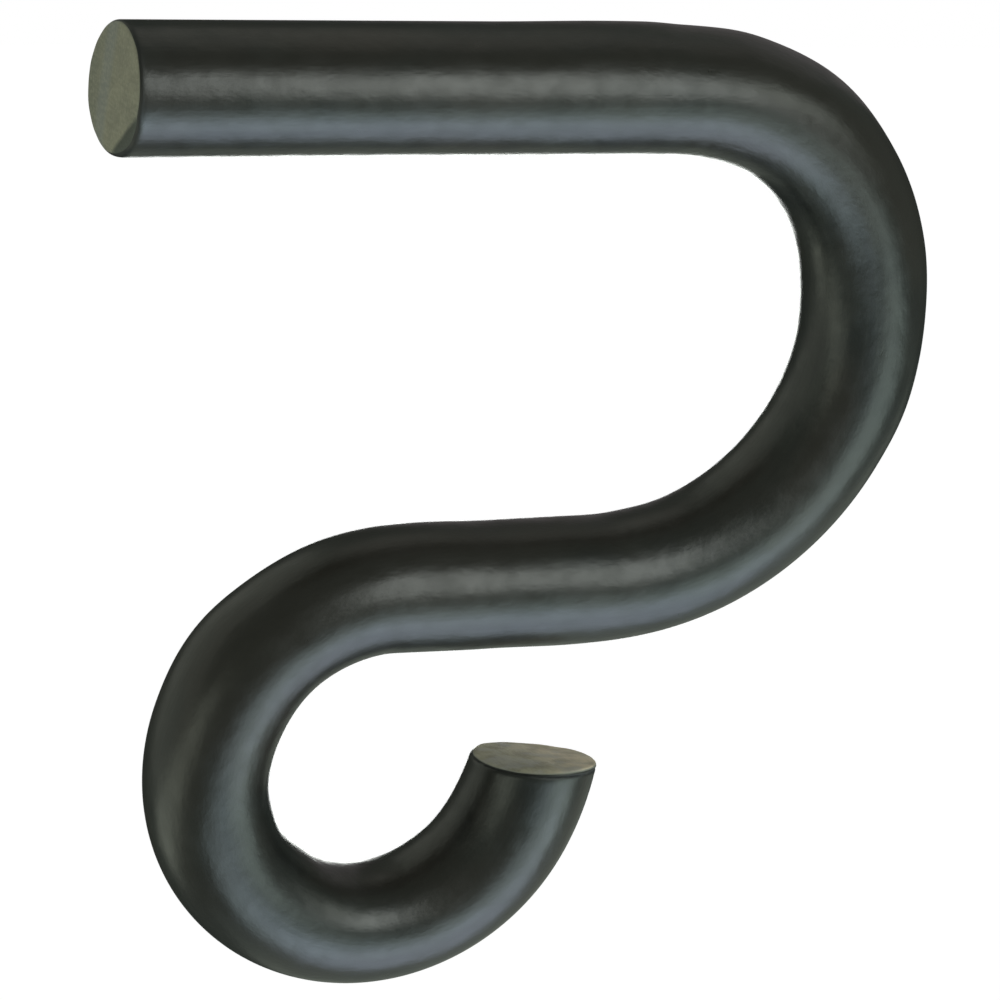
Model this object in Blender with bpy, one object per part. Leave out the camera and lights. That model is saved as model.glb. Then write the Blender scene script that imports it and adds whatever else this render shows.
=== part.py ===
"""A shutter holdback made from one length of plain round steel bar.

The bar is cropped to length at both ends and bent in one flat plane: a straight shank,
a wide return bend, a short straight middle run that comes back under the shank, and a
tighter reverse bend that ends in an upturned tip.  Nothing is added to the bar: it has
no eye, hole, thread, pin or plate, so the whole object is one solid.

Units are metres.  The bend plane is XZ and +Z is up.  The origin is the centre of the
shank's cropped end, and the shank runs from there along +X.
"""

import math

import bmesh
import bpy
from mathutils import Matrix, Vector

# The bar stock.
BAR_DIAMETER = 0.0127

# The bend schedule, in the order in which the bar is fed and bent.  Lengths are straight
# runs, radii are to the bar's centreline, and angles are how far the heading turns.
SHANK_LENGTH = 0.0570
RETURN_ENTRY_RADIUS = 0.0220
RETURN_ENTRY_ANGLE = 67.0
RETURN_EXIT_RADIUS = 0.0265
RETURN_EXIT_ANGLE = 111.5
MIDDLE_LENGTH = 0.0215
HOOK_ENTRY_RADIUS = 0.0180
HOOK_ENTRY_ANGLE = 106.5
HOOK_EXIT_RADIUS = 0.0170
HOOK_EXIT_ANGLE = 138.0
TIP_RADIUS = 0.0240
TIP_ANGLE = 17.0

# The cropping blade leaves each end face a few degrees out of square: first the lean in
# the bend plane, then the lean across it.
SHANK_CROP_LEAN = (4.0, 5.0)
TIP_CROP_LEAN = (-3.5, 5.0)
# The sharp rim of each cropped face is broken by this much.
RIM_BREAK = 0.0004

# How finely the round shapes are faceted.
BAR_SIDES = 40
BEND_STEP = 7.5

DOWN, UP = -1, 1
BEND_AXIS = Vector((0, 1, 0))
STEEL_COLOUR = (0.060, 0.062, 0.056, 1.0)
STEEL_ROUGHNESS = 0.42
STEEL_METALLIC = 0.85


class BarEnd:
    """The free end of the bar as it is fed: where it is, which way it heads, its last ring."""

    def __init__(self, ring):
        self.place = Vector((0, 0, 0))
        self.heading = 0.0
        self.ring = ring

    def along(self):
        return Vector((math.cos(self.heading), 0, math.sin(self.heading)))

    def left(self):
        return Vector((-math.sin(self.heading), 0, math.cos(self.heading)))


def start_bar(bm):
    """The first ring of the bar, square to the shank and centred on the origin."""
    face_forward = Matrix.Rotation(math.radians(90), 4, "Y")
    bmesh.ops.create_circle(bm, segments=BAR_SIDES, radius=BAR_DIAMETER / 2, matrix=face_forward)
    return BarEnd(list(bm.edges))


def feed(bm, end, length):
    """Adds a straight run to the bar."""
    made = bmesh.ops.extrude_edge_only(bm, edges=end.ring)["geom"]
    points = [g for g in made if isinstance(g, bmesh.types.BMVert)]
    bmesh.ops.translate(bm, verts=points, vec=end.along() * length)
    end.ring = [g for g in made if isinstance(g, bmesh.types.BMEdge) and g.is_boundary]
    end.place += end.along() * length


def bend(bm, end, radius, angle, side):
    """Adds a bend that turns the heading by angle degrees, up (left) or down (right)."""
    centre = end.place + end.left() * radius * side
    turn = math.radians(angle) * side
    steps = max(2, math.ceil(angle / BEND_STEP))
    # A turn about +Y lowers the heading, so the spin runs the other way.
    made = bmesh.ops.spin(
        bm, geom=end.ring, cent=centre, axis=BEND_AXIS, angle=-turn, steps=steps, use_duplicate=False
    )
    end.ring = [g for g in made["geom_last"] if isinstance(g, bmesh.types.BMEdge)]
    end.place = centre + Matrix.Rotation(-turn, 3, BEND_AXIS) @ (end.place - centre)
    end.heading += turn


def crop(bm, ring, place, along, left, lean):
    """Leans an end ring as the cropping blade does, closes it with a flat face, breaks its rim."""
    in_plane, across = (math.tan(math.radians(angle)) for angle in lean)
    towards_front = along.cross(left)
    for point in {v for edge in ring for v in edge.verts}:
        offset = point.co - place
        point.co += along * (offset.dot(left) * in_plane + offset.dot(towards_front) * across)
    bmesh.ops.contextual_create(bm, geom=ring)
    bmesh.ops.bevel(bm, geom=ring, offset=RIM_BREAK, segments=1, profile=0.5, affect="EDGES")


def blackened_steel():
    """The bar's dark, slightly glossy finish."""
    material = bpy.data.materials.new("blackened_steel")
    material.use_nodes = True
    shader = material.node_tree.nodes["Principled BSDF"]
    shader.inputs["Base Color"].default_value = STEEL_COLOUR
    shader.inputs["Roughness"].default_value = STEEL_ROUGHNESS
    shader.inputs["Metallic"].default_value = STEEL_METALLIC
    return material


def bent_bar():
    """Feeds and bends the bar by its schedule, crops both ends and makes the object."""
    bm = bmesh.new()
    end = start_bar(bm)
    first_ring = list(end.ring)

    feed(bm, end, SHANK_LENGTH)
    bend(bm, end, RETURN_ENTRY_RADIUS, RETURN_ENTRY_ANGLE, DOWN)
    bend(bm, end, RETURN_EXIT_RADIUS, RETURN_EXIT_ANGLE, DOWN)
    feed(bm, end, MIDDLE_LENGTH)
    bend(bm, end, HOOK_ENTRY_RADIUS, HOOK_ENTRY_ANGLE, UP)
    bend(bm, end, HOOK_EXIT_RADIUS, HOOK_EXIT_ANGLE, UP)
    bend(bm, end, TIP_RADIUS, TIP_ANGLE, UP)

    crop(bm, first_ring, Vector((0, 0, 0)), Vector((1, 0, 0)), Vector((0, 0, 1)), SHANK_CROP_LEAN)
    crop(bm, end.ring, end.place, end.along(), end.left(), TIP_CROP_LEAN)
    bmesh.ops.recalc_face_normals(bm, faces=bm.faces)

    mesh = bpy.data.meshes.new("bent_bar")
    bm.to_mesh(mesh)
    bm.free()
    mesh.shade_smooth()
    mesh.set_sharp_from_angle(angle=math.radians(30))
    mesh.materials.append(blackened_steel())
    bar = bpy.data.objects.new("bent_bar", mesh)
    bpy.context.scene.collection.objects.link(bar)
    return bar


for old in list(bpy.data.objects):
    bpy.data.objects.remove(old, do_unlink=True)
bent_bar()
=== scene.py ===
# %% [markdown]
# # A shutter holdback bent from one black bar
#
# The object is one length of round steel bar, 12.7 mm thick.  A shop crops the bar to
# length, bends it cold around formers into a question mark on its side, and blackens it.
# The packed model already fixes its size and place, so this lesson only makes what the
# eye sees: the fine surface, the cropped ends, the finish, and a plain studio around it.
#
# Everything is in metres.  The shank runs along +X, the bends lie in the XZ plane, and
# -Y is the side that the camera is on.

# %% Load the fixed frame
import math

import bpy
from mathutils import Matrix, Vector, noise


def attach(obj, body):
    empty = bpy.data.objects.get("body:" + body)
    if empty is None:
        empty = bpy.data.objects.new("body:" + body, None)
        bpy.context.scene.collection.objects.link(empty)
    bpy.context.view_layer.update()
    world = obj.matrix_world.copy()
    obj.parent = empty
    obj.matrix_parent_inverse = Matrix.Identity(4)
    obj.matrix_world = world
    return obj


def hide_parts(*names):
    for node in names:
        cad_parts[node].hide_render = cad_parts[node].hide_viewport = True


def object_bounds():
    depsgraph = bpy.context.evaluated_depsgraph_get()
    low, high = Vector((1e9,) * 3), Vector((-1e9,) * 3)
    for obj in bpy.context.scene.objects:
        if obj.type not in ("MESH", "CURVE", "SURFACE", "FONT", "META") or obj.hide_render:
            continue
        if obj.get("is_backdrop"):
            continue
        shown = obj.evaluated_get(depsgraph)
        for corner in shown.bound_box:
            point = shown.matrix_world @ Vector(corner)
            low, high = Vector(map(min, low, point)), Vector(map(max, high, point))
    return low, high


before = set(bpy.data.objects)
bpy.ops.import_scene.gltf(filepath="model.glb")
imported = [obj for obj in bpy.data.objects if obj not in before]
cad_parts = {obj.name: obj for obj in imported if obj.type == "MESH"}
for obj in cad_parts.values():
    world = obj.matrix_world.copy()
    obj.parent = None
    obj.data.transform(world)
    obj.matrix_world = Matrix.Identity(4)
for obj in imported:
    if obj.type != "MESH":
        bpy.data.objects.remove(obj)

MM = 0.001


def in_mm(place):
    """A place in millimetres, rounded for printing."""
    return tuple(round(part / MM, 2) for part in place)


cad_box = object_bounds()
print("nodes", sorted(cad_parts), "box", [in_mm(corner) for corner in cad_box], "mm")

# %% [markdown]
# ## The bend schedule
#
# A bender works from a card: feed so much bar, then bend so far around such a radius.
# Writing the same card here is better than tracing the finished shape, because every
# bend stays a true arc and the bar keeps its real length.  Radii are to the middle of
# the bar, and a side of +1 bends it upwards.

# %% The card, and how much bar it takes
BAR = 12.7 * MM
RADIUS = BAR / 2
DOWN, UP = -1, 1
STRAIGHT = None
SCHEDULE = (
    # radius in mm or straight, how far in degrees or mm, side
    (STRAIGHT, 57.0, 0),
    (22.0, 67.0, DOWN),
    (26.5, 111.5, DOWN),
    (STRAIGHT, 21.5, 0),
    (18.0, 106.5, UP),
    (17.0, 138.0, UP),
    (24.0, 17.0, UP),
)


def run_length(radius, amount):
    """How much bar one line of the card takes up."""
    if radius is STRAIGHT:
        return amount * MM
    return radius * MM * math.radians(amount)


BAR_LENGTH = sum(run_length(radius, amount) for radius, amount, side in SCHEDULE)
print("bar length", round(BAR_LENGTH / MM, 2), "mm")

# %% [markdown]
# ## The path of the bends
#
# The bar will be modelled straight and then bent, as the real one is.  Blender's Curve
# modifier does the bending, and it needs a curve to follow.  A Bezier curve with a knot
# every fifteen degrees or less keeps to the arcs within a thousandth of a millimetre.
# A little spare straight at the far end keeps the bar's tip from running off the path.

# %% The knots of the path
ARC_STEP = 15.0
SPARE = 3 * MM


def heading_vector(heading):
    """The way that the bar runs where it points this far above +X, in radians."""
    return Vector((math.cos(heading), 0, math.sin(heading)))


class Knot:
    """A point of the path: its place, its heading, and the lengths of its two handles."""

    def __init__(self, place, heading, before):
        self.place = place
        self.heading = heading
        self.before = before
        self.after = 0.0

    def onward(self, chord, turn, handle):
        """The knot that comes a chord's length on, where the path has turned by an angle."""
        self.after = handle
        place = self.place + heading_vector(self.heading + turn / 2) * chord
        return Knot(place, self.heading + turn, handle)


knots = [Knot(Vector((0, 0, 0)), 0.0, SPARE / 3)]
for radius, amount, side in SCHEDULE + ((STRAIGHT, SPARE / MM, 0),):
    if radius is STRAIGHT:
        length = amount * MM
        knots.append(knots[-1].onward(length, 0.0, length / 3))
        continue
    steps = math.ceil(amount / ARC_STEP)
    turn = math.radians(amount) / steps
    chord = 2 * radius * MM * math.sin(turn / 2)
    handle = 4 / 3 * math.tan(turn / 4) * radius * MM
    for _ in range(steps):
        knots.append(knots[-1].onward(chord, side * turn, handle))
print("path of", len(knots), "knots, the bar ends at", in_mm(knots[-2].place), "mm")

# %% A curve through the knots
PATH_STEPS = 48

line = bpy.data.curves.new("bend_path", "CURVE")
line.dimensions = "3D"
line.resolution_u = PATH_STEPS
line.twist_mode = "MINIMUM"
spline = line.splines.new("BEZIER")
spline.bezier_points.add(len(knots) - 1)
for point, knot in zip(spline.bezier_points, knots):
    point.handle_left_type = "FREE"
    point.handle_right_type = "FREE"
    point.co = knot.place
    point.handle_left = knot.place - heading_vector(knot.heading) * knot.before
    point.handle_right = knot.place + heading_vector(knot.heading) * knot.after
bend_guide = bpy.data.objects.new("bend_path", line)
bpy.context.scene.collection.objects.link(bend_guide)
print("curve of", len(spline.bezier_points), "points")

# %% [markdown]
# ## The blank
#
# The blank is the straight piece of bar before it is bent.  It starts as a cylinder of
# the bar's diameter and length, lying along X.  The packed model is selected after it
# loads, so everything is deselected first, or the operators would act on it too.

# %% A cylinder of bar
AROUND = 96

bpy.ops.object.select_all(action="DESELECT")
bpy.ops.mesh.primitive_cylinder_add(
    vertices=AROUND,
    radius=RADIUS,
    depth=BAR_LENGTH,
    end_fill_type="NGON",
    location=(BAR_LENGTH / 2, 0, 0),
    rotation=(0, math.radians(90), 0),
)
bar = bpy.context.object
bar.name = "holdback_bar"
bpy.ops.object.transform_apply(location=True, rotation=True, scale=True)
print("cylinder measures", in_mm(bar.dimensions), "mm")

# %% [markdown]
# ## Rounded rims and rings
#
# No cropped rim is perfectly sharp, so Bevel gives both a small rounded edge.  The bar
# also needs points where it will change shape.  Bisect adds rings close behind each rim,
# where the blade leaves small marks, and Subdivide, used twice, cuts the rest into rings
# about half a millimetre apart, so that the bends come out smooth.  Both operators work
# on what is selected, so a helper selects edges or faces by a test.

# %% Select by a test


def select(kind, test):
    """Selects the bar's edges or faces that pass a test, and goes into edit mode."""
    bpy.ops.object.mode_set(mode="EDIT")
    bpy.ops.mesh.select_mode(type=kind)
    bpy.ops.mesh.select_all(action="DESELECT")
    bpy.ops.object.mode_set(mode="OBJECT")
    parts = bar.data.edges if kind == "EDGE" else bar.data.polygons
    for part in parts:
        part.select = test(part)
    bpy.ops.object.mode_set(mode="EDIT")


def run(edge):
    """How far an edge of the straight bar goes along it."""
    first, second = (bar.data.vertices[index].co.x for index in edge.vertices)
    return abs(first - second)


print("long edges", sum(run(edge) > MM for edge in bar.data.edges), "of", len(bar.data.edges))

# %% Round the rims
RIM_ROUND = 0.45 * MM
RIM_STEPS = 6

select("EDGE", lambda edge: run(edge) < MM)
bpy.ops.mesh.bevel(offset=RIM_ROUND, segments=RIM_STEPS, profile=0.5, affect="EDGES")
print("rims rounded to", RIM_ROUND / MM, "mm")

# %% Rings behind the rims, and all along the bar
NEAR_RINGS = (0.55, 0.65, 0.75, 0.9, 1.1, 1.4, 1.8)
CUTS = 20

for depth in NEAR_RINGS:
    for place in (depth * MM, BAR_LENGTH - depth * MM):
        bpy.ops.mesh.select_all(action="SELECT")
        bpy.ops.mesh.bisect(plane_co=(place, 0, 0), plane_no=(1, 0, 0))
for _ in range(2):
    select("EDGE", lambda edge: run(edge) > MM)
    bpy.ops.mesh.subdivide(number_cuts=CUTS)
print("rings", round(BAR_LENGTH / MM / (CUTS + 1) ** 2, 2), "mm apart")

# %% [markdown]
# ## Rings on the end faces
#
# Each end is still one flat face with a point on every side, and such a face can't be
# made uneven.  Inset, used again and again, steps inwards to the middle in rings, and
# Poke closes the last one with a point at its centre.

# %% Inset the two end faces
END_RINGS = 9

select("FACE", lambda face: len(face.vertices) == AROUND)
ring_step = (RADIUS - RIM_ROUND) / (END_RINGS + 1)
for _ in range(END_RINGS):
    bpy.ops.mesh.inset(thickness=ring_step)
bpy.ops.mesh.poke()
bpy.ops.mesh.select_all(action="SELECT")
bpy.ops.mesh.normals_make_consistent(inside=False)
bpy.ops.object.mode_set(mode="OBJECT")
print("blank of", len(bar.data.vertices), "points and", len(bar.data.polygons), "faces")

# %% [markdown]
# ## A memory of the straight bar
#
# The finish runs along the bar: it was drawn straight through a die before anyone bent
# it.  So each point keeps its place on the straight blank in an attribute.  The materials
# read that attribute, and their streaks then follow every bend.  The end faces are also
# easiest to tell from the rest now, while they still face straight along X.

# %% Store the straight places, and list the cropped faces
FACES_ALONG = 0.7

straight = bar.data.attributes.new("straight", "FLOAT_VECTOR", "POINT")
for point, kept in zip(bar.data.vertices, straight.data):
    kept.vector = point.co

cropped_faces = [face.index for face in bar.data.polygons if abs(face.normal.x) > FACES_ALONG]
print("cropped faces", len(cropped_faces))

# %% [markdown]
# ## What the blade does to an end
#
# A cropping blade pushes before it cuts.  It rolls the rim over on the side that it
# enters, leaves the face a few degrees out of square, tears the last part of the face,
# and can pull a fine lip out on the far side with a groove behind it.  The shank's end
# has lost a corner as well.  Moving points by a formula is the plainest way to get all
# of these marks, because they fade smoothly into the round bar.

# %% The sizes of the marks
LEAN_FADE = 8 * MM
ROLL_REACH = 1.2 * MM
ROLL_DEPTH = 0.45 * MM
LIP_PROUD = 0.05 * MM
GROOVE_PLACE = 0.55 * MM
GROOVE_HALF = 0.20 * MM
GROOVE_DEPTH = 0.11 * MM
TORN_DEPTH = 0.05 * MM
TORN_SCALE = 1.6 * MM
RIM_ONLY = 6
CHOP_SIDE = math.radians(-135)
CHOP_WAY = Vector((0, math.cos(CHOP_SIDE), math.sin(CHOP_SIDE)))
CHOP_START = 5.15 * MM
CHOP_SLOPE = 0.22
CHOP_FADE = 2.6 * MM


def hump(distance, reach):
    """1 at no distance, 0 from reach onwards, and smooth between."""
    if abs(distance) >= reach:
        return 0.0
    return 0.5 + 0.5 * math.cos(math.pi * distance / reach)


print("rims roll over by up to", ROLL_DEPTH / MM, "mm, and the groove is", GROOVE_DEPTH / MM, "mm deep")

# %% One cropped end


class CroppedEnd:
    """One end of the bar, and how the blade left it.

    place is how far along the bar the end is, and inwards is +1 or -1, the way to the rest
    of the bar.  The two leans and blade_side, the side that the blade enters, are degrees.
    rolled, lip and chopped say how much of each mark this end has, where 1 is its full size.
    """

    def __init__(self, place, inwards, lean_in_plane, lean_across, blade_side, rolled, lip, chopped):
        self.place = place
        self.inwards = inwards
        self.slope_z = math.tan(math.radians(lean_in_plane))
        self.slope_y = -math.tan(math.radians(lean_across))
        self.blade_side = math.radians(blade_side)
        self.rolled = rolled
        self.lip = lip
        self.chopped = chopped

    def sideways(self, out, depth):
        """How far a point moves away from the bar's middle: the lip and groove, less the roll."""
        entered = math.cos(math.atan2(out.z, out.y) - self.blade_side)
        rim_share = (out.length / RADIUS) ** RIM_ONLY
        lip = self.lip * (0.5 - 0.5 * entered)
        proud = LIP_PROUD * hump(depth, GROOVE_PLACE)
        proud -= GROOVE_DEPTH * hump(depth - GROOVE_PLACE, GROOVE_HALF)
        fade = max(0.0, 1 - depth / ROLL_REACH) ** 2
        roll = self.rolled * ROLL_DEPTH * fade * max(0.0, entered) * rim_share
        return proud * lip * rim_share - roll, roll

    def shape(self, point):
        """Where a point of the plain bar ends up."""
        depth = (point.x - self.place) * self.inwards
        if depth > LEAN_FADE:
            return point
        out = Vector((0, point.y, point.z))
        away, roll = self.sideways(out, depth)
        lean = (point.z * self.slope_z + point.y * self.slope_y) * (1 - depth / LEAN_FADE)
        past_chop = max(0.0, out.dot(CHOP_WAY) - CHOP_START) * max(0.0, 1 - depth / CHOP_FADE)
        chop = self.chopped * CHOP_SLOPE * past_chop
        torn = TORN_DEPTH * noise.noise(out / TORN_SCALE + Vector((self.place / MM, 0, 0)))
        face_share = max(0.0, 1 - depth / (RIM_ROUND * 2))
        moved = point + out.normalized() * away
        moved.x += lean + self.inwards * (roll + chop) + torn * face_share
        return moved


print("an end's marks reach", LEAN_FADE / MM, "mm along the bar")

# %% Crop both ends
shank_end = CroppedEnd(
    place=0.0,
    inwards=1,
    lean_in_plane=4.0,
    lean_across=5.0,
    blade_side=-110,
    rolled=0.8,
    lip=0.0,
    chopped=1.0,
)
tip_end = CroppedEnd(
    place=BAR_LENGTH,
    inwards=-1,
    lean_in_plane=-4.5,
    lean_across=9.0,
    blade_side=125,
    rolled=1.3,
    lip=1.0,
    chopped=0.0,
)
for point in bar.data.vertices:
    point.co = tip_end.shape(shank_end.shape(point.co))
places = [point.co.x for point in bar.data.vertices]
print("the cropped blank runs from", round(min(places) / MM, 2), "to", round(max(places) / MM, 2), "mm")

# %% [markdown]
# ## Bars change shape where they bend
#
# On a tight bend the bar's section becomes slightly oval: it loses a few hundredths of
# its thickness in the plane of the bend, and gains about half of that across it.  It is
# worked out from the card, as the bar's thickness over the bend's radius, and softened
# where one radius runs into the next.

# %% An oval section on the bends
FLATTENING = 0.04
SOFT_JOIN = 2.25 * MM


def tightness(along):
    """The bar's thickness over the bend's radius at a place along it, smoothed at the joins."""
    total, start = 0.0, 0.0
    for radius, amount, side in SCHEDULE:
        end = start + run_length(radius, amount)
        if radius is not STRAIGHT:
            inside = math.atan((along - start) / SOFT_JOIN) - math.atan((along - end) / SOFT_JOIN)
            total += BAR / (radius * MM) * max(0.0, inside / math.pi)
        start = end
    return total


tightest = max(tightness(step * MM) for step in range(int(BAR_LENGTH / MM)))
print("the tightest bend flattens by", round(FLATTENING * tightest * 100, 2), "per cent")

# %% [markdown]
# ## The formers' marks
#
# The formers that a bar is bent around leave their mark too.  It swells a little where a
# former starts, and is pressed flatter against it, most of all inside the hook.  Each
# mark is a tenth to half of a millimetre, but together they keep the highlights from
# looking drawn with compasses.  A short table of soft humps is enough to place them.

# %% A table of marks
TO_LEFT, TO_RIGHT = 1, -1
MARK_SPREAD = 1.5
FORMER_MARKS = (
    # where along the bar and how far it reaches in mm, side of the way along, how proud in mm
    (4, 22, TO_RIGHT, 0.10),
    (49, 12, TO_LEFT, 0.13),
    (61, 9, TO_RIGHT, 0.27),
    (58, 5, TO_LEFT, -0.20),
    (71, 7, TO_LEFT, 0.25),
    (90, 9, TO_RIGHT, 0.15),
    (92, 6, TO_LEFT, -0.13),
    (101, 5, TO_LEFT, 0.15),
    (130, 6, TO_RIGHT, 0.17),
    (138, 8, TO_LEFT, 0.17),
    (153, 8, TO_RIGHT, 0.22),
    (155, 8, TO_LEFT, -0.12),
    (166, 6, TO_RIGHT, -0.18),
    (173, 6, TO_RIGHT, 0.20),
    (177, 10, TO_LEFT, 0.25),
    (195, 6, TO_LEFT, -0.20),
    (210, 13, TO_LEFT, -0.45),
    (230, 9, TO_LEFT, 0.25),
)


def bench_marks(point):
    """How far the formers moved a point of the section up or down in the plane of the bends."""
    move = 0.0
    for place, reach, side, proud in FORMER_MARKS:
        share = max(0.0, side * point.z / RADIUS) ** MARK_SPREAD
        move += side * proud * MM * share * hump(point.x - place * MM, reach * MM)
    return move


for point in bar.data.vertices:
    oval = FLATTENING * tightness(point.co.x)
    point.co.z = point.co.z * (1 - oval) + bench_marks(point.co)
    point.co.y *= 1 + oval / 2
print("marks left by the formers", len(FORMER_MARKS))

# %% [markdown]
# ## The bend
#
# Bending is one modifier.  Curve lays the blank's X axis along the path and carries the
# section with it, as the bench does with the real bar.  It is applied, so that the mesh
# itself is bent and its object stays at the origin, and the path isn't needed any more.
# Shading is smooth, except where two faces meet at more than forty degrees.

# %% Bend the blank along the path
SMOOTH_BELOW = math.radians(40)

bend = bar.modifiers.new("bend", "CURVE")
bend.object = bend_guide
bend.deform_axis = "POS_X"
bpy.ops.object.select_all(action="DESELECT")
bar.select_set(True)
bpy.context.view_layer.objects.active = bar
bpy.ops.object.modifier_apply(modifier="bend")
bpy.data.objects.remove(bend_guide)
bpy.ops.object.shade_smooth_by_angle(angle=SMOOTH_BELOW)
bar.data.update()
print("bent bar measures", in_mm(bar.dimensions), "mm")

# %% [markdown]
# ## Writing a finish as sums
#
# A finish is a network of nodes.  Wiring it by hand hides the idea, so a small class
# wraps a socket and turns ordinary sums into Math nodes, and one method adds every other
# kind of node: its type, then its settings, then the values or links of its sockets.

# %% Values that can be used in sums


class Signal:
    """A value in a network of nodes."""

    def __init__(self, network, socket):
        self.network = network
        self.socket = socket

    def __add__(self, other):
        return self.network.maths("ADD", self, other)

    def __radd__(self, other):
        return self.network.maths("ADD", other, self)

    def __sub__(self, other):
        return self.network.maths("SUBTRACT", self, other)

    def __rsub__(self, other):
        return self.network.maths("SUBTRACT", other, self)

    def __mul__(self, other):
        return self.network.maths("MULTIPLY", self, other)

    def __rmul__(self, other):
        return self.network.maths("MULTIPLY", other, self)

    def __abs__(self):
        return self.network.maths("ABSOLUTE", self)


print("what a value can do", [name.strip("_") for name, part in vars(Signal).items() if callable(part)])

# %% The network that the values belong to


class Network:
    """A tree of nodes while it is being laid out."""

    def __init__(self, tree):
        self.tree = tree

    def join(self, value, socket):
        """Links a signal to a socket, or sets the socket to a plain value."""
        if isinstance(value, Signal):
            self.tree.links.new(value.socket, socket)
        else:
            socket.default_value = value

    def node(self, kind, settings, sockets, output=0):
        """Adds a node of any kind: its settings first, then its sockets."""
        made = self.tree.nodes.new("ShaderNode" + kind)
        for name, value in settings.items():
            setattr(made, name, value)
        for name, value in sockets.items():
            self.join(value, made.inputs[name])
        return Signal(self, made.outputs[output])

    def maths(self, operation, *values):
        return self.node("Math", {"operation": operation}, dict(enumerate(values)))

    def mix(self, factor, first, second):
        """The first colour where the factor is 0, the second where it is 1."""
        return self.node("Mix", {"data_type": "RGBA"}, {0: factor, 6: first, 7: second}, 2)

    def dot(self, vector, way):
        """How far a vector goes this way."""
        return self.node("VectorMath", {"operation": "DOT_PRODUCT"}, {0: vector, 1: way}, "Value")

    def ramp(self, value, low, high, least=0.0):
        """The least below low, 1 above high, and a smooth step between."""
        sockets = {"Value": value, "From Min": low, "From Max": high, "To Min": least}
        return self.node("MapRange", {"interpolation_type": "SMOOTHSTEP"}, sockets, "Result")

    def band(self, value, middle, full, gone):
        """1 where a value is within full of the middle, 0 beyond gone, and smooth between."""
        return 1 - self.ramp(abs(value - middle), full, gone)

    def bump(self, height, distance, under=None):
        """A relief this deep, laid over another one if there is one."""
        sockets = {"Height": height, "Distance": distance}
        if under is not None:
            sockets["Normal"] = under
        return self.node("Bump", {}, sockets, "Normal")


print("helpers", sorted(name for name in vars(Network) if not name.startswith("_")))

# %% A finish, and a finish for the bar


class Finish(Network):
    """A material with one shader."""

    def __init__(self, name):
        self.material = bpy.data.materials.new(name)
        self.material.use_nodes = True
        super().__init__(self.material.node_tree)
        self.shader = self.tree.nodes["Principled BSDF"]

    def set(self, **sockets):
        """Joins values to the shader's sockets, whose names have _ for a space."""
        for name, value in sockets.items():
            self.join(value, self.shader.inputs[name.replace("_", " ")])


class BarFinish(Finish):
    """A material whose patterns follow the bar round its bends."""

    def __init__(self, name):
        super().__init__(name)
        self.straight = self.node("Attribute", {"attribute_name": "straight"}, {}, "Vector")

    def part(self, axis):
        """One coordinate of the straight bar: X is along it, Y across the bends, Z in them."""
        return self.node("SeparateXYZ", {}, {0: self.straight}, axis)

    def pattern(self, steps, detail):
        """Soft noise from 0 to 1 with so many steps per metre along X, Y and Z."""
        scaled = self.node("VectorMath", {"operation": "MULTIPLY"}, {0: self.straight, 1: steps})
        return self.node("TexNoise", {}, {"Vector": scaled, "Scale": 1.0, "Detail": detail}, "Fac")

    def cloud(self, along_mm, around_mm, detail=3.0):
        """Soft noise from 0 to 1 whose blotches have these sizes."""
        around = 1 / (around_mm * MM)
        return self.pattern((1 / (along_mm * MM), around, around), detail)


satin = BarFinish("satin_black")
cropped = BarFinish("cropped_steel")
print("finishes", satin.material.name, "and", cropped.material.name)

# %% [markdown]
# ## The black bar
#
# The bar is drawn smooth, then blackened and oiled.  Its colour is a very dark grey with
# a trace of green and brown, it is satin rather than glossy, and the blacking is a little
# mottled at the size of a fingertip.  Fine lines run along it from the drawing die.  All
# of that is soft noise in the straight bar's own coordinates, stretched along it or not,
# so nothing has to be drawn or unwrapped.

# %% The colour of the blacking
DEEP_BLACK = (0.006, 0.0065, 0.006, 1)
GREEN_BLACK = (0.014, 0.0145, 0.012, 1)
BROWN_BLACK = (0.014, 0.0115, 0.009, 1)

mottle = satin.cloud(along_mm=9.0, around_mm=5.0, detail=4.0)
blotch = satin.cloud(along_mm=2.4, around_mm=1.5)
draw_lines = satin.cloud(along_mm=30.0, around_mm=0.35, detail=2.0)
tint = satin.cloud(along_mm=26.0, around_mm=8.0, detail=2.0)
tone = satin.ramp(mottle * 0.7 + draw_lines * 0.3, 0.35, 0.65)
black = satin.mix(tone, DEEP_BLACK, GREEN_BLACK)
brownish = satin.mix(satin.ramp(tint, 0.4, 0.65), black, BROWN_BLACK)
print("blacking made of", len(satin.tree.nodes), "nodes")

# %% [markdown]
# ## Painted shade and a pale rim near the ends
#
# At the tip the rim is a pale line, rubbed steel with a painted edge highlight, and the
# groove behind it is darkened in broken lengths as painted shade.  At the shank a soft
# band along the rim is darkened as painted shade.  Both are masks of how far a point is
# from that end of the straight bar.

# %% Marks on the black near the ends
# Painted shade: the near-black that the groove and the shank's rim are darkened towards.
PAINTED_SHADE_BLACK = (0.003, 0.003, 0.003, 1)
# The pale tip rim: rubbed bare steel and a painted edge highlight together.
RUBBED_STEEL_AND_HIGHLIGHT = (0.34, 0.33, 0.28, 1)
PAINTED_SHADE_HALF = GROOVE_HALF * 1.4
# How far the shank's rim is darkened as painted shade.
RIM_SHADE_SHARE = 0.3

along = satin.part("X")
tip_depth = BAR_LENGTH - along
broken = satin.ramp(satin.cloud(along_mm=2.0, around_mm=2.0), 0.30, 0.55)
# Painted shade: the groove behind the tip's rim is darkened in broken lengths.
groove = satin.band(tip_depth, GROOVE_PLACE, 0.0, PAINTED_SHADE_HALF) * broken
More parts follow.
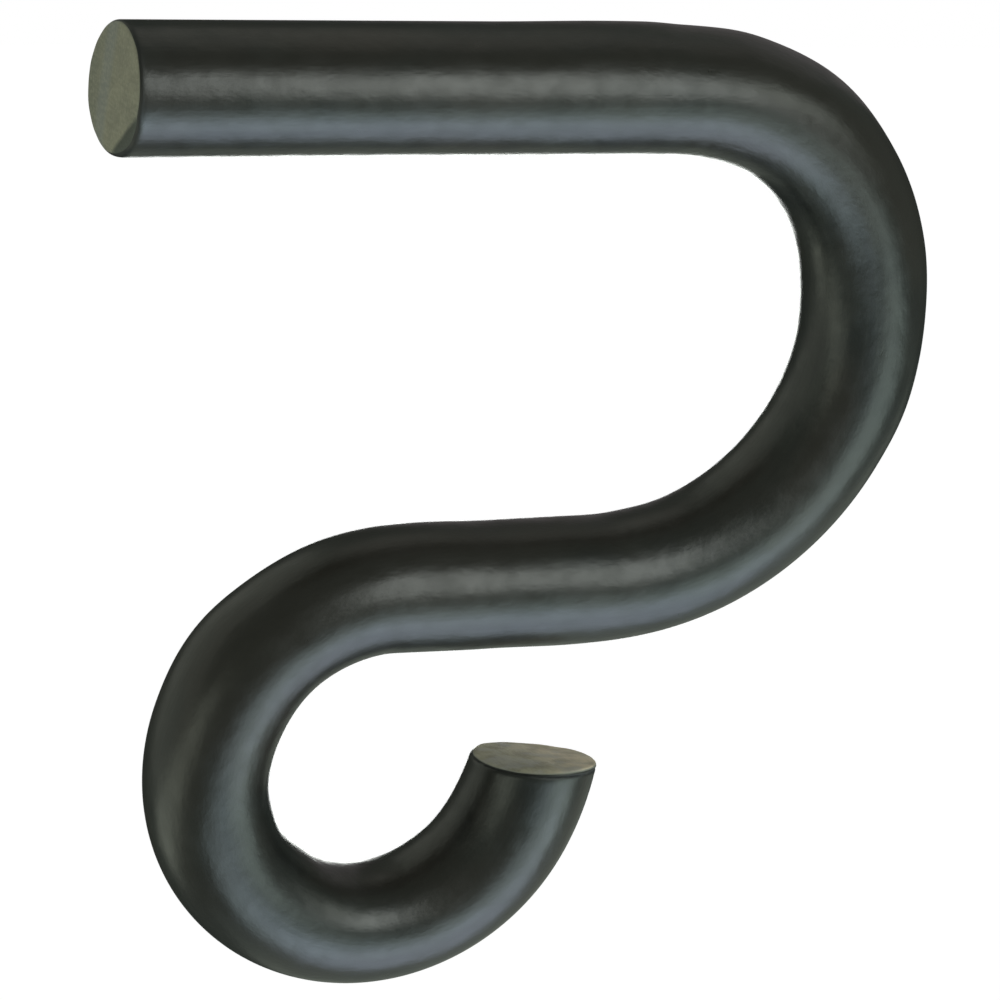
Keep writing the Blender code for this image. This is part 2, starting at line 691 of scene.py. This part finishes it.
# Painted shade: a soft band along the shank's rounded rim is darkened.
rim_shade = 1 - satin.ramp(along, 0.3 * MM, 0.9 * MM)
painted_shade = satin.maths("MAXIMUM", groove, rim_shade * RIM_SHADE_SHARE)
shaded_colour = satin.mix(painted_shade, brownish, PAINTED_SHADE_BLACK)
# The pale tip rim: rubbed bare steel and a painted edge highlight together.
rubbed_and_highlight = (1 - satin.ramp(tip_depth, 0.15 * MM, 0.30 * MM)) * (0.6 + 0.4 * blotch)
colour = satin.mix(rubbed_and_highlight, shaded_colour, RUBBED_STEEL_AND_HIGHLIGHT)
print("with the marks at the ends,", len(satin.tree.nodes), "nodes")

# %% [markdown]
# ## The feel of the black
#
# Blacked steel isn't as smooth as paint.  Three reliefs lie over each other: an orange
# peel of blotches, a fine grit, and the lines of the die.  All are a few hundredths of a
# millimetre or less, so they are bump, not shape, and they only break up the highlights.
# The sheen changes with the blotches, and it is dull in the groove and on the shank's rim, where shade
# is painted.

# %% Relief and sheen of the black
PEEL_DEPTH = 0.06 * MM
GRIT_DEPTH = 0.008 * MM
LINE_DEPTH = 0.006 * MM

grit = satin.cloud(along_mm=0.45, around_mm=0.32, detail=2.0)
peel = satin.bump(blotch, PEEL_DEPTH)
frosted = satin.bump(grit, GRIT_DEPTH, under=peel)
grain = satin.bump(draw_lines, LINE_DEPTH, under=frosted)
roughness = 0.21 + 0.25 * blotch + 0.60 * groove + 0.20 * rim_shade
satin.set(Base_Color=colour, Roughness=roughness, Metallic=0.0, Normal=grain)
print("satin black made of", len(satin.tree.nodes), "nodes")

# %% [markdown]
# ## The cropped faces
#
# The blade leaves bare steel, which has gone dull: olive at the shank, darker towards
# its far edge, and brown at the tip, warmest on the outside of the hook.  One material
# does for both faces, because they share their patches and streaks, and a mask of the
# place along the bar chooses between the two sets of colours.

# %% The colours of the two faces
OLIVE = (0.19, 0.18, 0.138, 1), (0.235, 0.22, 0.165, 1)
FAR_OLIVE = (0.12, 0.125, 0.10, 1)
WARM_BROWN = (0.42, 0.35, 0.265, 1), (0.64, 0.53, 0.40, 1)
DULL_BROWN = (0.22, 0.20, 0.155, 1), (0.38, 0.345, 0.26, 1)
MID_BAR = 20 * MM, 30 * MM

place_along = cropped.part("X")
across = cropped.part("Y")
upright = cropped.part("Z")
at_shank = 1 - cropped.ramp(place_along, *MID_BAR)
patches = cropped.ramp(cropped.cloud(along_mm=3.0, around_mm=2.6), 0.35, 0.65)
far_edge = cropped.ramp(across, 1.0 * MM, 5.5 * MM)
shank_colour = cropped.mix(far_edge * 0.6, cropped.mix(patches, *OLIVE), FAR_OLIVE)
warm = cropped.mix(patches, *WARM_BROWN)
dull = cropped.mix(patches, *DULL_BROWN)
tip_colour = cropped.mix(cropped.ramp(upright, -5.0 * MM, 3.0 * MM), warm, dull)
bare = cropped.mix(at_shank, tip_colour, shank_colour)
print("colours of the faces made of", len(cropped.tree.nodes), "nodes")

# %% [markdown]
# ## Bands, flecks, a dark corner and a shaded rim
#
# A blue-grey band stands on the shank's face, and blue-grey patches lie on the tip's.
# Short streaks run the way that the blade went, with bright flecks between them.  The
# shank's lost corner is painted near-black, and its rim is darkened too, as painted shade.

# %% Everything that lies over the bare steel
TIP_COOL = (0.36, 0.34, 0.34, 1)
SHANK_COOL = (0.185, 0.19, 0.18, 1)
FLECK = (0.42, 0.40, 0.31, 1)
# Near-black for the lost corner, and painted shade for the shank face's rim.
CORNER_AND_RIM_DARK = (0.05, 0.053, 0.042, 1)
STREAK_STEPS = (0, 1 / (1.6 * MM), 1 / (0.35 * MM))
CORNER_SOFT = 0.3 * MM

streaks = cropped.pattern(STREAK_STEPS, detail=5.0)
speckle = cropped.cloud(along_mm=0.4, around_mm=0.35, detail=2.0)
bluish = cropped.ramp(cropped.cloud(along_mm=4.0, around_mm=2.2, detail=1.0), 0.5, 0.7)
blue_band = cropped.band(across, 1.9 * MM, 0.5 * MM, 1.8 * MM)
cool_share = bluish * (1 - at_shank) * 0.5 + blue_band * at_shank * 0.8
cool = cropped.mix(cool_share, bare, cropped.mix(at_shank, TIP_COOL, SHANK_COOL))
flecks = cropped.ramp(speckle + streaks, 0.8, 1.3)
flecked = cropped.mix(flecks * 0.25, cool, FLECK)
towards_corner = cropped.dot(cropped.straight, CHOP_WAY)
corner = cropped.ramp(towards_corner, CHOP_START - CORNER_SOFT, CHOP_START + CORNER_SOFT) * at_shank
# Painted shade on the rim of the shank's face, going on from the darkened band beside it.
face_rim_shade = cropped.ramp(place_along, 0.03 * MM, 0.2 * MM) * at_shank
darkened = cropped.maths("MAXIMUM", corner, face_rim_shade * 0.8)
face_colour = cropped.mix(darkened, flecked, CORNER_AND_RIM_DARK)
rough = cropped.bump(streaks, 0.06 * MM, under=cropped.bump(speckle, 0.05 * MM))
cropped.set(Base_Color=face_colour, Roughness=0.62, Metallic=0.0, Normal=rough)
print("cropped steel made of", len(cropped.tree.nodes), "nodes")

# %% [markdown]
# ## Dressing the bar
#
# A mesh can wear several materials, and each face says which by its number.  The faces
# are numbered after both materials are on the mesh, because clearing the list sets every
# face back to the first.  Then the bar is told which body it rides on, and the packed
# piece that it stands for is hidden.

# %% Put the finishes on, and tie the bar to the frame
BLACK_INDEX, CROPPED_INDEX = 0, 1

bar.data.materials.clear()
bar.data.materials.append(satin.material)
bar.data.materials.append(cropped.material)
for index in cropped_faces:
    bar.data.polygons[index].material_index = CROPPED_INDEX
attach(bar, "root")
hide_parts("bent_bar")
black_faces = sum(face.material_index == BLACK_INDEX for face in bar.data.polygons)
print("black faces", black_faces, "and cropped faces", len(cropped_faces))

# %% [markdown]
# ## The camera
#
# The camera stands left of the object and above it, half a metre away, with a long lens,
# so the shank's cropped face is just in sight.  It aims a little above the middle of the
# object's box, and it is rolled a few degrees, which tilts the shank.

# %% Place the camera
TURN, RISE, ROLL = -22.01, 18.82, 5.73
LENS = 185.5
REACH = 505.4 * MM
AIM_SHIFT = Vector((0.07, 0.0, 1.317)) * MM


def direction(turn, rise):
    """The unit vector towards a place this far round from the front and this high, in degrees."""
    around, up = math.radians(turn), math.radians(rise)
    return Vector((math.sin(around) * math.cos(up), -math.cos(around) * math.cos(up), math.sin(up)))


def facing(place, back, roll=0.0):
    """A matrix that stands at a place with its back to one way, rolled about that way."""
    right = Vector((0, 0, 1)).cross(back).normalized()
    upright = Matrix((right, back.cross(right), back)).transposed()
    turned = upright @ Matrix.Rotation(math.radians(roll), 3, "Z")
    return Matrix.Translation(place) @ turned.to_4x4()


aim = (cad_box[0] + cad_box[1]) / 2 + AIM_SHIFT
back = direction(TURN, RISE)
lens = bpy.data.cameras.new("camera")
lens.lens = LENS
lens.sensor_width = 36
lens.clip_start = 0.01
lens.clip_end = 100
camera = bpy.data.objects.new("camera", lens)
camera.matrix_world = facing(aim + back * REACH, back, ROLL)
bpy.context.scene.collection.objects.link(camera)
bpy.context.scene.camera = camera
print("camera stands at", in_mm(camera.matrix_world.translation), "and aims at", in_mm(aim), "mm")

# %% [markdown]
# ## The floor
#
# The floor is a plain white plane, well below the bar.  It glows evenly and is left out
# of reflections, so it gives a clean pale ground and the lights alone shape the bar.  The
# Standard view shows colours as they are, without a film look.

# %% A white floor
FLOOR_DROP = 0.3
FLOOR_SIZE = 3.0

bpy.context.scene.view_settings.view_transform = "Standard"
white_floor = Finish("white_floor")
white_floor.set(Base_Color=(0, 0, 0, 1), Emission_Color=(1, 1, 1, 1), Emission_Strength=1.0)
bpy.ops.mesh.primitive_plane_add(size=FLOOR_SIZE, location=(aim.x, 0, cad_box[0].z - FLOOR_DROP))
floor = bpy.context.object
floor.name = "floor"
floor.data.materials.append(white_floor.material)
floor.visible_glossy = False
floor.visible_diffuse = False
floor.visible_shadow = False
floor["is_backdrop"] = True
print("floor at", round(floor.location.z / MM, 1), "mm")

# %% [markdown]
# ## The softboxes
#
# A satin black bar shows little of its own colour.  What the eye reads on it are the
# reflections of the lights, so each bright band along the bar is one softbox: a rectangle
# of even light.  A softbox is placed by how far round and how high it stands, always
# facing the bar from the same distance, and it is as bright as its colour says whatever
# its size.  The camera doesn't see them.

# %% A softbox
LIGHT_REACH = 0.35


def softbox(name, turn, rise, roll, width, height, brightness):
    """A rectangular light that faces the object from this way; brightness is per colour."""
    light = bpy.data.lights.new(name, "AREA")
    light.shape = "RECTANGLE"
    light.size = width
    light.size_y = height
    strongest = max(brightness)
    light.energy = strongest * math.pi * width * height
    light.color = [part / strongest for part in brightness]
    lamp = bpy.data.objects.new(name, light)
    way = direction(turn, rise)
    lamp.matrix_world = facing(aim + way * LIGHT_REACH, way, roll)
    lamp.visible_camera = False
    bpy.context.scene.collection.objects.link(lamp)


print("softboxes stand", LIGHT_REACH, "m from the middle of the bar")

# %% The lights of the studio
SOFTBOXES = (
    # name, turn, rise and roll in degrees, width and height in metres, red, green and blue
    ("key", 20, 24, 17, 0.14, 0.22, (4.3, 4.6, 4.35)),
    ("key_edge", 47, 25, -19, 0.12, 0.10, (2.5, 2.75, 2.45)),
    ("under_front", 5, -42, -57, 0.21, 0.26, (1.8, 2.25, 2.35)),
    ("under_right", 38, -53, -56, 0.25, 0.25, (1.85, 2.15, 2.7)),
    ("low_right", 44, -22, -25, 0.25, 0.19, (1.95, 2.4, 2.2)),
    ("table", 97, -67, -45, 0.46, 0.69, (0.30, 0.33, 0.28)),
    ("low_left", -80, -25, 39, 0.62, 0.14, (1.3, 1.4, 1.15)),
    ("far_left", -123, 17, 45, 0.46, 0.70, (0.41, 0.42, 0.36)),
    ("top", 147, 71, 51, 0.15, 0.28, (0.41, 0.38, 0.34)),
    ("far_right", 136, 26, -50, 0.60, 0.18, (0.22, 0.19, 0.20)),
    ("behind", 158, -19, 0, 0.11, 0.11, (6.0, 6.2, 6.0)),
)
for row in SOFTBOXES:
    softbox(*row)
print("softboxes", len(SOFTBOXES))

# %% [markdown]
# ## The room
#
# The room gives a dim, slightly green light from all around, and it is dimmer behind the
# bar, so the bar's edges stay dark against the ground.  That darker part has a fixed
# place in the room.  Where the camera looks past the floor it sees plain white instead.

# %% Dim light all around, and a white backdrop
DIM_GREEN = (0.20, 0.235, 0.205, 1)
WHITE = (1, 1, 1, 1)
BEHIND = -0.9, -0.3
DIMMED_TO = 0.25

world = bpy.data.worlds.new("room")
world.use_nodes = True
bpy.context.scene.world = world
room = Network(world.node_tree)
outlook = room.node("TexCoord", {}, {}, "Generated")
brightness = room.ramp(room.dot(outlook, back), *BEHIND, least=DIMMED_TO)
ambient = room.node("Background", {}, {"Color": DIM_GREEN, "Strength": brightness})
backdrop = room.node("Background", {}, {"Color": WHITE})
seen = room.node("LightPath", {}, {}, "Is Camera Ray")
choice = room.node("MixShader", {}, {0: seen, 1: ambient, 2: backdrop})
room.join(choice, room.tree.nodes["World Output"].inputs["Surface"])
print("room made of", len(room.tree.nodes), "nodes")

# %% [markdown]
# ## The sizes
# The visible bar has to fill the same box as the packed one, so the packed box is printed
# near the start and the visual box here. The last line checks that every piece rides on a body, that no
# packed piece was moved, and that every name is real.

# %% Sizes
new_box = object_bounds()
print("visual box", [in_mm(corner) for corner in new_box], "mm")
